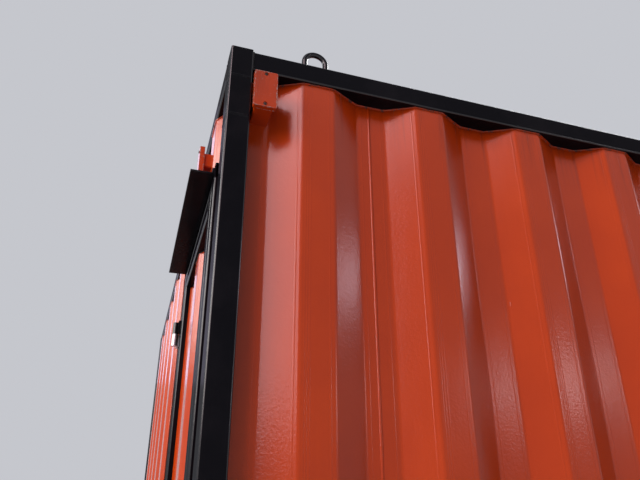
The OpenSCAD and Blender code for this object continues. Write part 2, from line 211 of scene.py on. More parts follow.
# %% A finish
class Finish(Nodes):
    """A material. Its patterns lie in the piece's own coordinates, in metres."""

    def __init__(self, name):
        self.material = bpy.data.materials.new(name)
        self.material.use_nodes = True
        super().__init__(self.material.node_tree)
        self.shader = next(n for n in self.tree.nodes if n.type == "BSDF_PRINCIPLED")
        self.place = self.add("ShaderNodeTexCoord", output="Object")

    def axis(self, name, vector=None):
        return self.add("ShaderNodeSeparateXYZ", None, {0: vector or self.place}, output=name)

    def facing(self):
        """The way that the surface faces, as a vector of length 1."""
        return self.add("ShaderNodeNewGeometry", output="Normal")

    def stretched(self, by):
        """The place on the piece with each axis scaled, which stretches a pattern."""
        return self.add("ShaderNodeVectorMath", {"operation": "MULTIPLY"}, {0: self.place, 1: by})

    def noise(self, scale, detail=3, rough=0.5, at=None):
        """Soft noise from 0 to 1. scale is how many times it swings in a metre."""
        return self.add("ShaderNodeTexNoise", {"noise_dimensions": "3D"},
                        {"Vector": at or self.place, "Scale": scale, "Detail": detail, "Roughness": rough})

    def cells(self, scale, at=None, output="Distance"):
        """Scattered points and the distance to the nearest one, counted in their own spacing."""
        return self.add("ShaderNodeTexVoronoi", {"feature": "F1"},
                        {"Vector": at or self.place, "Scale": scale}, output=output)

    def bumped(self, height, distance, strength=1.0, over=None):
        """A normal that stands up by distance where height is 1, on top of the normal over."""
        sockets = {"Height": height, "Distance": distance, "Strength": strength}
        if over:
            sockets["Normal"] = over
        return self.add("ShaderNodeBump", None, sockets)

    def done(self, **sockets):
        """Sets the shader's sockets, where base_color stands for Base Color."""
        titles = {name: name.replace("_", " ").title().replace("Ior", "IOR") for name in sockets}
        self.feed(self.shader, {titles[name]: value for name, value in sockets.items()})
        print("finish", self.material.name, "has", len(self.tree.nodes), "nodes")
        return self.material


# %% [markdown]
# ## Studio
# A building is lit like any product: by large soft lights. Gloss paint shows its lights, so where
# they stand matters as much as how strong they are. The world is the sky's even light, and Light
# Path lets the camera and mirror-like paint see a pale backdrop in its place.

# %% Colour management and world
scene.view_settings.view_transform = "Standard"

BACKDROP = (0.56, 0.57, 0.61, 1)
FILL = (0.11, 0.11, 0.122, 1)

world = bpy.data.worlds.new("studio")
scene.world = world
world.use_nodes = True
surround = Nodes(world.node_tree)
background = next(n for n in world.node_tree.nodes if n.type == "BACKGROUND")
surround.feed(background, {"Color": surround.mixed(FILL, BACKDROP, surround.seen())})
print("world has", len(world.node_tree.nodes), "nodes")

# %% [markdown]
# The key light stands in front of the end with the door, a little to the side of the long wall, and
# lights both. Each slope of the corrugation mirrors another part of the studio. The slopes that face
# the door get their long sheen from two lights beside the key. The slopes that face away mirror a
# small light beyond the far end, and the flats towards that end mirror a low one. A faint light high
# in front of the long wall is the open sky. The end with the door has a light of its own, and one
# that it mirrors at a glancing angle. The last light stands at the back, for views from there.

# %% Lights
AIMED_AT = Vector((corner.x, corner.y, 2.0))


def soft_light(name, azimuth, elevation, distance, size, watts, colour=(1, 1, 1)):
    """A rectangular light of a width and height in metres, at a distance from the front corner.
    azimuth is a compass angle, where 0 is +Y and 90 is +X, and elevation the angle above level."""
    turn, rise = math.radians(azimuth), math.radians(elevation)
    towards = Vector((math.sin(turn) * math.cos(rise), math.cos(turn) * math.cos(rise), math.sin(rise)))
    lamp = bpy.data.lights.new(name, "AREA")
    lamp.shape = "RECTANGLE"
    lamp.size, lamp.size_y = size
    lamp.energy = watts
    lamp.color = colour
    stand = bpy.data.objects.new(name, lamp)
    scene.collection.objects.link(stand)
    stand.location = AIMED_AT + towards * distance
    stand.rotation_euler = (-towards).to_track_quat("-Z", "Y").to_euler()
    stand.visible_camera = False
    print(name, "light,", watts, "W, at", short(stand.location, 1))


soft_light("key", 254, 20, 16, (9, 6), 1550, (1, 0.97, 0.93))
soft_light("sheen", 226, 28, 9, (3.6, 7.0), 420, (1, 0.74, 0.79))
soft_light("sheen_high", 207, 43, 9, (3.6, 2.2), 86, (1, 0.76, 0.82))
soft_light("far_end", 98, 22, 14, (4.2, 1.4), 110, (1, 0.82, 0.95))
soft_light("low_gap", 138.5, 10, 12, (2.0, 0.7), 56, (1, 0.86, 0.90))
soft_light("sky", 172, 54, 12, (9, 5), 35, (0.86, 0.88, 1))
soft_light("door_side", 300, 26, 15, (7, 6), 700, (1, 0.97, 0.95))
soft_light("door_sheen", 353, 25, 12, (5, 6), 106, (0.74, 0.67, 1))
soft_light("back", 50, 38, 15, (8, 6), 1500)

# %% [markdown]
# ## The corrugation's sizes
# Both the paint and the welds follow the corrugation: an outer flat, a slope, an inner flat and a
# slope back. Its few sizes are named here once. BACK is how far a sheet's outer flats lie behind
# the frame's face, and FIRST is the distance from the corner to a wall's first ridge.

# %% Sizes of the sheets
FLAT_OUT, FLAT_IN, RUN, DEPTH = 0.072, 0.070, 0.068, 0.036
PITCH = FLAT_OUT + FLAT_IN + 2 * RUN
SIDE_BACK, END_BACK, LEAF_BACK = 0.012, 0.001, 0.012
SIDE_FIRST, SIDE_RIDGES = 0.168, 21
END_FIRST, END_RIDGES = 0.210, 8

FRONT, RIGHT_SIDE = corner.x, corner.y
REAR, LEFT_SIDE = -corner.x, -corner.y
rail_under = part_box("top_rail_right")[0].z
sheet_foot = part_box("side_wall_right")[0].z
print("ridges every", round(PITCH, 3), "m, sheets from", *short((sheet_foot, rail_under)), "m")

# %% [markdown]
# ## Orange enamel
# The sheets were painted on site with gloss enamel and a roller. Close up it has three scales: the
# orange peel of the roller a few millimetres across, faint upright streaks where the last strokes
# went, and slow changes of depth over each panel. The sheet itself is a little wavy between its
# bends, which a highlight shows at once. Under the top rail the paint is chipped to its brown
# primer, for a short way below the rail its colour is darker in upright streaks, and dust lies on
# what faces up. Here and there the wet paint sagged into a drop. Bump gives the peel, the streaks,
# the drops and the waves, because they are far thinner than any mesh could hold.

# %% Colours of the wall paint, its dirt, and its darker band below the rail
ENAMEL = (0.52, 0.055, 0.004, 1)
ENAMEL_DEEP = (0.43, 0.041, 0.003, 1)
PRIMER = (0.11, 0.032, 0.020, 1)
PRIMER_PALE = (0.34, 0.22, 0.19, 1)
# the darker colour of the upright streaks just below the top rail
BELOW_RAIL_DARK = (0.10, 0.022, 0.014, 1)
DUST = (0.33, 0.24, 0.18, 1)
MUD = (0.19, 0.12, 0.08, 1)

MUD_FULL, MUD_END = 0.10, 0.42
# how far below the top rail the paint is darker in streaks
BELOW_RAIL_REACH = 0.16
CHIPPED_WIDTH = 0.007
MUD_SHARE, DUST_SHARE, BELOW_RAIL_SHARE = 0.55, 0.34, 0.5
WAVE, ROLL_MARK, PEEL, STROKE, SAG, PAINT_FILM = 0.0016, 0.00022, 0.00034, 0.00005, 0.0005, 0.0002
print("mud up to", MUD_END, "m, soot from", round(rail_under - BELOW_RAIL_REACH, 3), "m up to the rail")


# %% [markdown]
# The dirt, the darker band below the rail and the chips are masks: 1 where the mark is and 0
# elsewhere. Each is a band of height or a way of facing, times a noise that breaks it up. The small
# boxes' lids are chipped along their edges instead, and an edge is where the second nearest face is near
# too.

# %% Masks for dirt, the darker band below the rail, and chips
def under_rail(height):
    """Keeps a mask off the roof sheet, which lies above the rail's underside."""
    return 1 - height.between(rail_under + 0.004, rail_under + 0.006)


def splashed_mud(paint, height):
    low_down = 1 - height.between(MUD_FULL, MUD_END)
    return low_down * paint.noise(24, detail=6, rough=0.75).between(0.38, 0.80)


def settled_dust(paint):
    faces_up = paint.axis("Z", paint.facing()).between(0.5, 0.9)
    return faces_up * paint.noise(4, detail=5, rough=0.65).between(0.35, 0.75)


# Colour darker in upright streaks for a short way below the top rail.
def darker_below_rail(paint, height):
    runs = paint.noise(1, detail=4, rough=0.65, at=paint.stretched((46, 46, 1.6))).between(0.50, 0.72)
    return height.between(rail_under - BELOW_RAIL_REACH, rail_under - 0.005) * under_rail(height) * runs


def nicks(paint):
    return (1 - paint.cells(7).between(0.008, 0.013)) * paint.noise(2.3, detail=1).between(0.50, 0.54)


def chips_under_rail(paint, height):
    band = height.between(rail_under - CHIPPED_WIDTH, rail_under - 0.002) * under_rail(height)
    return band * paint.noise(70, detail=4, rough=0.7).between(0.51, 0.57)


def chips_on_edges(paint, low, high):
    """Crumbs of bare primer along the edges of a small box between two corners."""
    inwards = [(paint.axis(name) - near).smaller(far - paint.axis(name))
               for name, near, far in zip("XYZ", low, high)]
    least = inwards[0].smaller(inwards[1])
    most = inwards[0].larger(inwards[1])
    from_edge = least.larger(most.smaller(inwards[2]))
    crumbs = paint.noise(210, detail=5, rough=0.75)
    return (crumbs + (1 - from_edge.between(0, 0.004)) * 0.16).between(0.64, 0.68)


# %% [markdown]
# The rolls that formed the sheet pressed fine lines beside its bends. They repeat with the
# corrugation, so the place along the wall is divided by the pitch, and the fraction that is left
# says where in one ridge a point lies.

# %% Lines beside the bends
def roll_marks(paint, axis, first):
    """axis runs along the wall, and first is where its first ridge starts."""
    in_ridge = ((paint.axis(axis) - first) / PITCH).fraction() * PITCH
    on_ridge = (0.0085, 0.0135, 0.019, FLAT_OUT - 0.012)
    in_valley = (FLAT_OUT + RUN + 0.010, PITCH - RUN - 0.011, PITCH - 0.010)
    lines = [1 - (in_ridge - line).size().between(0.0006, 0.0022) for line in on_ridge + in_valley]
    return reduce(Wire.larger, lines)


# %% The wall paint
def enamel(name, rolled=None, chipped_box=None):
    """rolled is the axis and first ridge of a wall, for its roll marks. chipped_box holds the two
    corners of a small box whose edges are chipped."""
    paint = Finish(name)
    height = paint.axis("Z")
    patches = paint.noise(9, detail=3)
    strokes = paint.noise(1, detail=4, rough=0.6, at=paint.stretched((230, 230, 4)))
    mud, dust, darkened = splashed_mud(paint, height), settled_dust(paint), darker_below_rail(paint, height)
    bare = nicks(paint).larger(chips_under_rail(paint, height))
    if chipped_box:
        bare = bare.larger(chips_on_edges(paint, *chipped_box))
    depth = (paint.noise(1.3, detail=2) * 0.55 + patches * 0.35 + strokes * 0.10).between(0.3, 0.8)
    colour = paint.mixed(ENAMEL_DEEP, ENAMEL, depth)
    # darker upright streaks just below the top rail
    colour = paint.mixed(colour, BELOW_RAIL_DARK, darkened * BELOW_RAIL_SHARE)
    colour = paint.mixed(colour, MUD, mud * MUD_SHARE)
    colour = paint.mixed(colour, DUST, dust * DUST_SHARE)
    colour = paint.mixed(colour, PRIMER_PALE if chipped_box else PRIMER, bare)
    dirt = (mud * MUD_SHARE).larger(dust * DUST_SHARE)
    rough = 0.13 + strokes * 0.05 + patches * 0.05 + dirt * 0.45 + bare * 0.3 + darkened * 0.15
    normal = paint.bumped(paint.noise(1, detail=2, at=paint.stretched((9, 9, 2.6))), WAVE, 0.6)
    if rolled:
        normal = paint.bumped(roll_marks(paint, *rolled), ROLL_MARK, 0.8, over=normal)
    normal = paint.bumped(paint.noise(170, detail=3, rough=0.6), PEEL, 0.9, over=normal)
    normal = paint.bumped(strokes, STROKE, 0.5, over=normal)
    sags = 1 - paint.cells(1, at=paint.stretched((14, 14, 3.4))).between(0.008, 0.032)
    normal = paint.bumped(sags, SAG, 0.8, over=normal)
    normal = paint.bumped(1 - bare, PAINT_FILM, 1.0, over=normal)
    return paint.done(base_color=colour, roughness=rough, normal=normal, specular_ior_level=0.34)


ORANGE = enamel("orange_enamel")
ORANGE_SIDES = enamel("orange_enamel_sides", rolled=("X", FRONT + SIDE_FIRST))
ORANGE_ENDS = enamel("orange_enamel_ends", rolled=("Y", RIGHT_SIDE + END_FIRST))

# %% [markdown]
# ## Black satin on the tubes
# The frame is brushed along each tube, so the marks of the brush run with the tube. One function
# takes the tube's direction and squeezes the noise along it. Tops gather a grey film of dust, and
# the paint dulls in patches. The flats look almost dead black, yet each rounded bend of a tube
# draws a thin bright line. So the shader has no base gloss: its coat is weak on the flats and
# strong on the bends, which are where the surface faces along none of the three axes.

# %% Colours of the frame paint
BLACK = (0.0042, 0.0042, 0.0062, 1)
BLACK_WORN = (0.0105, 0.0098, 0.0125, 1)
DUST_ON_BLACK = (0.075, 0.066, 0.060, 1)
RUST = (0.10, 0.052, 0.034, 1)
TUBE_WAVE, BRUSH_MARK, SATIN_GRAIN = 0.0008, 0.00012, 0.00008


# %% The frame paint, for each direction
def bends(paint):
    """1 on the rounded bends of a tube and 0 on its flats."""
    facing = paint.facing()
    along = [paint.axis(name, facing).size() for name in "XYZ"]
    return 1 - reduce(Wire.larger, along).between(0.965, 0.995)


def satin_black(name, along, bend_gloss=0.78):
    """along is the number of the tube's axis, and bend_gloss the extra coat on its bends."""
    paint = Finish(name)
    squeeze = [240, 240, 240]
    squeeze[along] = 6
    strokes = paint.noise(1, detail=4, rough=0.6, at=paint.stretched(squeeze))
    patches = paint.noise(7, detail=4, rough=0.6)
    faces_up = paint.axis("Z", paint.facing()).between(0.4, 0.95)
    dust = faces_up * paint.noise(18, detail=4, rough=0.7).between(0.3, 0.8)
    low_down = 1 - paint.axis("Z").between(0.0, 0.45)
    splashed = low_down * paint.noise(16, detail=5, rough=0.7).between(0.45, 0.75)
    worn = patches.between(0.45, 0.75) * 0.6 + strokes.between(0.55, 0.8) * 0.25
    nick = (1 - paint.cells(11).between(0.007, 0.011)) * paint.noise(3.1, detail=1).between(0.52, 0.56)
    colour = paint.mixed(BLACK, BLACK_WORN, worn)
    colour = paint.mixed(colour, DUST_ON_BLACK, (dust * 0.6).larger(splashed * 0.45))
    colour = paint.mixed(colour, RUST, nick)
    normal = paint.bumped(paint.noise(6, detail=1), TUBE_WAVE, 0.5)
    normal = paint.bumped(strokes, BRUSH_MARK, 0.8, over=normal)
    normal = paint.bumped(paint.noise(420, detail=2), SATIN_GRAIN, 0.6, over=normal)
    return paint.done(base_color=colour, roughness=0.36 + patches * 0.14 + strokes * 0.08 + dust * 0.25,
                      normal=normal, specular_ior_level=0.0,
                      coat_weight=0.12 + bends(paint) * bend_gloss, coat_roughness=0.20)


BLACK_UPRIGHT = satin_black("black_upright", 2)
BLACK_ALONG = satin_black("black_along", 0)
BLACK_ACROSS = satin_black("black_across", 1)
BLACK_BEADS = satin_black("black_beads", 2, bend_gloss=0.15)

# %% [markdown]
# ## Zinc and plywood
# The lower halves of the hinges and the lock's cover were left in their zinc plating, which is a
# dull, slightly patchy metal. The floor is bare plywood: its grain is noise stretched along the
# board, with darker lines where the veneer was cut through the growth rings.

# %% Zinc plating
SPANGLE_DARK = (0.42, 0.42, 0.45, 1)
SPANGLE_PALE = (0.62, 0.62, 0.65, 1)
STAIN = (0.30, 0.27, 0.25, 1)
SPANGLE_STEP = 0.0001


def zinc_plating():
    metal = Finish("zinc")
    tone = metal.axis("X", metal.cells(160, output="Color"))
    stain = metal.noise(60, detail=4, rough=0.7).between(0.5, 0.8)
    colour = metal.mixed(metal.mixed(SPANGLE_DARK, SPANGLE_PALE, tone), STAIN, stain * 0.5)
    return metal.done(base_color=colour, roughness=0.32 + tone * 0.12 + stain * 0.2, metallic=1.0,
                      normal=metal.bumped(tone, SPANGLE_STEP, 0.4))


ZINC = zinc_plating()

# %% Plywood
VENEER_DARK = (0.20, 0.105, 0.045, 1)
VENEER_PALE = (0.42, 0.27, 0.14, 1)
KNOT = (0.09, 0.045, 0.02, 1)
SCUFF = (0.22, 0.18, 0.14, 1)
GRAIN_RAISED, PORE_DEEP = 0.0005, 0.0003


def plywood():
    wood = Finish("plywood")
    lines = wood.noise(1, detail=5, rough=0.65, at=wood.stretched((1.6, 26, 30)))
    pores = wood.noise(1, detail=3, rough=0.7, at=wood.stretched((14, 420, 420)))
    rings = (lines * 5 + wood.noise(2.5, detail=2) * 2).fraction()
    knot = 1 - wood.cells(1, at=wood.stretched((1.1, 2.6, 1))).between(0.03, 0.16)
    scuffs = wood.noise(5, detail=6, rough=0.75).between(0.5, 0.75)
    colour = wood.mixed(VENEER_DARK, VENEER_PALE, (rings * 0.55 + pores * 0.45).between(0.25, 0.85))
    colour = wood.mixed(colour, KNOT, knot * 0.7)
    colour = wood.mixed(colour, SCUFF, scuffs * 0.45)
    grain = wood.bumped(lines, GRAIN_RAISED, 0.3, over=wood.bumped(pores, PORE_DEEP, 0.6))
    return wood.done(base_color=colour, roughness=0.55 + pores * 0.2 + scuffs * 0.1, normal=grain)


PLYWOOD = plywood()

# %% [markdown]
# ## Give each piece its finish
# The record already says which finish each piece has. The black one depends on the direction of
# the tube, which is the longest side of the piece's box. Each CAD mesh comes with flat shading, so
# a geometry nodes modifier welds its corners and keeps an edge sharp only where it turns by more
# than 25 degrees: the rolled bends of the sheet then shade as curves. A weighted normal modifier
# keeps the wide flats flat. Neither changes the mesh itself.

# %% The modifiers that round the bends
WELD_WITHIN = 2e-5
SHARP_BEND, SHARP_EDGE = math.radians(25), math.radians(40)


def rounding_nodes():
    group = bpy.data.node_groups.new("rounded_bends", "GeometryNodeTree")
    for way in ("INPUT", "OUTPUT"):
        group.interface.new_socket("Geometry", in_out=way, socket_type="NodeSocketGeometry")
    steps = Nodes(group)
    welded = steps.add("GeometryNodeMergeByDistance", None,
                       {"Geometry": steps.add("NodeGroupInput"), "Distance": WELD_WITHIN})
    steep = steps.add("GeometryNodeInputMeshEdgeAngle", output="Unsigned Angle").above(SHARP_BEND)
    shaded = steps.add("GeometryNodeSetMeshNormal", {"mode": "SHARPNESS"},
                       {"Mesh": welded, "Remove Custom": True, "Edge Sharpness": steep})
    steps.feed(group.nodes.new("NodeGroupOutput"), {0: shaded})
    return group


ROUNDED = rounding_nodes()


def rounded(piece, edge=0.0):
    """Smooth bends and flat flats. With edge, the sharp edges get a small round of that width."""
    piece.modifiers.new("bends", "NODES").node_group = ROUNDED
    if edge:
        bevel = piece.modifiers.new("edges", "BEVEL")
        bevel.width = edge
        bevel.segments = 2
        bevel.limit_method = "ANGLE"
        bevel.angle_limit = SHARP_EDGE
    piece.modifiers.new("flats", "WEIGHTED_NORMAL").keep_sharp = True


# %% Assign the finishes
# the width of the round on each piece's sharp edges
EDGES = {"rain_hood": 0.0008, "door_sill": 0.001, "corner_box": 0.0008, "corner_box_lid": 0.001,
         "door_box": 0.0008, "door_box_lid": 0.001, "door_lock": 0.0008,
         "hinge_frame_halves": 0.0006, "hinge_leaf_halves": 0.0006, "floor_boards": 0.0008}
LIDS = ("corner_box_lid", "door_box_lid")
SIDE_SHEETS = ("side_wall_right", "side_wall_left")
END_SHEETS = ("rear_wall", "front_wall_beside_door", "front_wall_over_door", "front_wall_main",
              "leaf_infill")

OWN = {name: enamel(name + "_enamel", chipped_box=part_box(name)) for name in LIDS}
OWN.update({name: ORANGE_SIDES for name in SIDE_SHEETS})
OWN.update({name: ORANGE_ENDS for name in END_SHEETS})
SHARED = {"wall_paint": ORANGE, "zinc": ZINC, "floor_wood": PLYWOOD}


def finish_of(name, slot):
    if name in OWN:
        return OWN[name]
    if slot in SHARED:
        return SHARED[slot]
    low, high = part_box(name)
    sides = list(high - low)
    return (BLACK_ALONG, BLACK_ACROSS, BLACK_UPRIGHT)[sides.index(max(sides))]


for part in frame["record"]["subparts"]:
    name, slot = part["node"], part["material_slot"]
    piece = nodes[name]
    piece.data.materials.clear()
    piece.data.materials.append(finish_of(name, slot))
    rounded(piece, EDGES.get(name, 0.0))

# %% [markdown]
# ## Welds
# A fabricator joins all of this with weld beads, and a painted bead still shows as a thin wavy
# ridge. Each bead is a tube swept along its seam: rings of points at small steps, whose radius
# swells and shrinks as a bead's ripples do. Half of it lies inside the steel, as the real one does.
# The long seams take wide steps and the short ones, which are seen as ripples, take fine ones.

# %% Points along a line, and faces between rings
def resampled(points, step):
    """The points of a line at an even step along it."""
    points = [Vector(p) for p in points]
    ends = list(zip(points, points[1:]))
    total = sum((b - a).length for a, b in ends)
    count = max(2, round(total / step))
    line, at, passed = [], 0, 0.0
    for i in range(count + 1):
        want = total * i / count
        while at < len(ends) - 1 and want > passed + (ends[at][1] - ends[at][0]).length:
            passed += (ends[at][1] - ends[at][0]).length
            at += 1
        a, b = ends[at]
        line.append(a + (b - a) * min(1, (want - passed) / (b - a).length))
    return line


def square_to(way):
    """Two directions that are square to one direction and to each other."""
    side = way.cross(Vector((0, 0, 1)) if abs(way.z) < 0.9 else Vector((1, 0, 0))).normalized()
    return side, side.cross(way).normalized()


def join_rings(mesh, rings, closed=False):
    """Faces from each ring of points to the next, and from the last to the first if closed."""
    following = rings[1:] + rings[:1] if closed else rings[1:]
    for first, second in zip(rings, following):
        for k in range(len(first)):
            n = (k + 1) % len(first)
            mesh.faces.new((first[k], first[n], second[n], second[k]))


# %% A bead along a line
RIPPLE_PITCH, RIPPLE_HEIGHT = 2.2, 0.10
SWELL_KEPT, SWELL_CHANGE = 0.8, 0.08
BLUNTEST = 0.02


def add_bead(mesh, points, radius, step=0.0008, sides=8, seed=1, closed=False, flat=1.0, flat_axis=None):
    """Adds a swept bead to a bmesh. flat squashes it along flat_axis, for a bead on an open face."""
    chance = random.Random(seed)
    line = resampled(points, step)[:-1] if closed else resampled(points, step)
    last = len(line) - 1
    ripple = RIPPLE_PITCH * radius
    rippled = step < ripple / 3
    swell = 0.0
    rings = []
    for i, at in enumerate(line):
        ahead = line[(i + 1) % len(line)] if closed else line[min(i + 1, last)]
        behind = line[i - 1] if closed or i else line[0]
        side, over = square_to((ahead - behind).normalized())
        swell = swell * SWELL_KEPT + chance.uniform(-SWELL_CHANGE, SWELL_CHANGE)
        wave = RIPPLE_HEIGHT * math.cos(2 * math.pi * i * step / ripple) if rippled else 0
        from_end = radius if closed else min(radius, min(i, last - i) * step)
        blunt = math.sqrt(max(BLUNTEST, 1 - (1 - from_end / radius) ** 2))
        size = radius * (1 + wave + swell) * blunt
        ring = []
        for k in range(sides):
            turn = 2 * math.pi * k / sides
            out = (side * math.cos(turn) + over * math.sin(turn)) * size
            if flat_axis is not None:
                out[flat_axis] *= flat
            ring.append(mesh.verts.new(at + out))
        rings.append(ring)
    join_rings(mesh, rings, closed)
    if not closed:
        mesh.faces.new(reversed(rings[0]))
        mesh.faces.new(rings[-1])


def ring_of(centre, radius, axis=2, points=24):
    """The points of a circle round an axis, with the first one repeated at the end."""
    line = []
    for k in range(points + 1):
        turn = 2 * math.pi * k / points
        at = [radius * math.cos(turn), radius * math.sin(turn)]
        at.insert(axis, 0.0)
        line.append(Vector(centre) + Vector(at))
    return line


# %% A finished piece from a mesh
def made_piece(name, mesh, finish, body, sharp=45):
    """Turns a bmesh into a smooth-shaded piece that rides on a body of the CAD model."""
    data = bpy.data.meshes.new(name)
    bmesh.ops.recalc_face_normals(mesh, faces=mesh.faces)
    mesh.to_mesh(data)
    mesh.free()
    data.materials.append(finish)
    data.polygons.foreach_set("use_smooth", [True] * len(data.polygons))
    data.set_sharp_from_angle(angle=math.radians(sharp))
    made = bpy.data.objects.new(name, data)
    scene.collection.objects.link(made)
    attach(made, body)
    print(name, "has", sum(len(p.vertices) - 2 for p in data.polygons), "triangles")


# %% [markdown]
# ## The line of the corrugation
# The seams above and below each sheet follow its corrugation, so its outer face is needed as a
# line. It is worked out from the sizes named above: a point's depth depends on how far it lies
# past the nearest ridge. Each wall then has its own way of turning that line into places.

# %% Corrugation as a line
REAR_SET_IN = 0.002


def depth_at(s, first, ridges):
    """How far the outer face lies behind its ridges, at the distance s along a wall."""
    past = min(max(first + k * PITCH - s, s - first - k * PITCH - FLAT_OUT) for k in range(ridges))
    return DEPTH * max(0.0, min(1.0, past / RUN))


def corrugated(s0, s1, first, ridges):
    """Points (s, depth) of the sheet's outer face between s0 and s1."""
    turns = [first + k * PITCH + t for k in range(ridges) for t in (-RUN, 0, FLAT_OUT, FLAT_OUT + RUN)]
    return [(s, depth_at(s, first, ridges)) for s in [s0] + [t for t in turns if s0 < t < s1] + [s1]]


def on_right(s, depth, z):
    """A place on the right wall: s from the front corner, depth behind the ridges."""
    return Vector((FRONT + s, RIGHT_SIDE + SIDE_BACK + depth, z))


def on_left(s, depth, z):
    return Vector((FRONT + s, LEFT_SIDE - SIDE_BACK - depth, z))


def on_front(s, depth, z):
    """A place on the front end: s from the right corner."""
    return Vector((FRONT + END_BACK + depth, RIGHT_SIDE + s, z))


def on_rear(s, depth, z):
    return Vector((REAR - END_BACK - REAR_SET_IN - depth, RIGHT_SIDE + s, z))


post_low, post_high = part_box("corner_post_front_right")
post_w = post_high.x - FRONT
post_d = post_high.y - RIGHT_SIDE
length, width = REAR - FRONT, LEFT_SIDE - RIGHT_SIDE
print("posts", round(post_w, 3), "by", round(post_d, 3), "m; wall line has",
      len(corrugated(post_w, length - post_w, SIDE_FIRST, SIDE_RIDGES)), "points")

# %% [markdown]
# ## Seams round the sheets
# A fillet weld runs along the top and the foot of each sheet, and a thinner one up its two edges.
# The walls are made of sheets about 1.1 m wide, butted on an inner flat near its middle, and each
# of those joints is one upright bead that catches the light as a thin bright line.

# %% Beads round the wall sheets
SHEET_PITCHES = 4
FROM_SLOPE = 0.030
FILLET, BUTT, SHEET_EDGE = 0.0028, 0.0030, 0.0022
BUTT_FLAT = 0.55


def wall_seams(name, place, span, ridges, joints, foot, seed):
    """place turns a distance, a depth and a height into a point. span is where the sheet starts
    and ends, ridges are its first ridge and their number, and joints where sheets meet."""
    mesh = bmesh.new()
    faces = 1 if place(1, 0, 0).y == place(2, 0, 0).y else 0
    for z in (rail_under, foot):
        seam = [place(s, depth, z) for s, depth in corrugated(*span, *ridges)]
        add_bead(mesh, seam, FILLET, step=0.009, sides=7, seed=seed)
    for i, s in enumerate(joints):
        joint = [place(s, DEPTH, foot), place(s, DEPTH, rail_under)]
        add_bead(mesh, joint, BUTT, step=0.004, seed=seed + i, flat=BUTT_FLAT, flat_axis=faces)
    for s in span:
        depth = depth_at(s, *ridges)
        edge = [place(s, depth, foot), place(s, depth, rail_under)]
        add_bead(mesh, edge, SHEET_EDGE, step=0.012, sides=6, seed=seed + 9)
    made_piece(name, mesh, ORANGE, "cabin")


def joints_at(first, sheets):
    """Where sheets meet, each near the middle of the inner flat after a ridge."""
    return [first + FLAT_OUT + RUN + FROM_SLOPE + SHEET_PITCHES * PITCH * k for k in sheets]


side_span, side_ridges = (post_w, length - post_w), (SIDE_FIRST, SIDE_RIDGES)
end_ridges = (END_FIRST, END_RIDGES)
side_joints, end_joints = joints_at(SIDE_FIRST, range(6)), joints_at(END_FIRST, [1])
jamb_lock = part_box("door_jamb_lock_side")[0].y - RIGHT_SIDE
jamb_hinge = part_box("door_jamb_hinge_side")[1].y - RIGHT_SIDE
head_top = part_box("door_head")[1].z

WALLS = (
    ("side_wall_right", on_right, side_span, side_ridges, side_joints, sheet_foot, 11),
    ("side_wall_left", on_left, side_span, side_ridges, side_joints, sheet_foot, 31),
    ("rear_wall", on_rear, (post_d, width - post_d), end_ridges, end_joints, sheet_foot, 51),
    ("front_wall_main", on_front, (jamb_hinge, width - post_d), end_ridges, end_joints, sheet_foot, 71),
    ("front_wall_over_door", on_front, (jamb_lock, jamb_hinge), end_ridges, [], head_top, 81),
    ("front_wall_beside_door", on_front, (post_d, jamb_lock), end_ridges, [], sheet_foot, 91))
for sheet, *seams in WALLS:
    wall_seams(sheet + "_seams", *seams)

# %% [markdown]
# ## Welds on the frame
# Where a rail meets a post the bead runs round the corner between them. The corner post by the door
# was made up from pieces, so two beads cross its faces below the top. The two legs of each lifting
# eye have a bead round them too.

# %% Beads at the ends of the rails
SIDE_RAILS = ("top_rail_right", "top_rail_left", "bottom_rail_right", "bottom_rail_left")
FRONT_RAILS = ("top_rail_front", "bottom_rail_front")
ON_GROUND = 0.01
UPRIGHT_BEAD, LEVEL_BEAD, FACE_BEAD = 0.0024, 0.0022, 0.0026
FACE_FLAT = 0.35
# how far an upright bead stays inside the rail's foot and top
FROM_FOOT_SIDE, FROM_FOOT_FACE, FROM_TOP_FACE = 0.003, 0.004, 0.003


def frame_seams():
    mesh = bmesh.new()
    seed = 200
    for rail in SIDE_RAILS:
        low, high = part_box(rail)
        outside, inside = (low.y, high.y) if low.y < 0 else (high.y, low.y)
        for x in (low.x, high.x):
            seed += 1
            corner_line = [(x, outside, low.z + FROM_FOOT_SIDE), (x, outside, high.z)]
            add_bead(mesh, corner_line, UPRIGHT_BEAD, seed=seed)
            # nothing stands proud of the bottom rails' undersides, which lie on the ground
            edges = (low.z, high.z) if low.z > ON_GROUND else (high.z,)
            for z in edges:
                add_bead(mesh, [(x, outside, z), (x, inside, z)], LEVEL_BEAD, step=0.002, seed=seed)
    for rail in FRONT_RAILS:
        low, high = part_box(rail)
        for y in (low.y, high.y):
            seed += 1
            on_face = [(low.x, y, low.z + FROM_FOOT_FACE), (low.x, y, high.z - FROM_TOP_FACE)]
            add_bead(mesh, on_face, FACE_BEAD, seed=seed, flat=FACE_FLAT, flat_axis=0)
    made_piece("frame_seams", mesh, BLACK_BEADS, "cabin")


frame_seams()

# %% Beads across the corner post
SPLICE_DROPS = (0.079, 0.181)
SPLICE_EDGE, SPLICE_STEPS = 0.003, 8
SPLICE_WANDER = 0.0012
SPLICE_BEAD, SPLICE_FLAT = 0.0032, 0.30


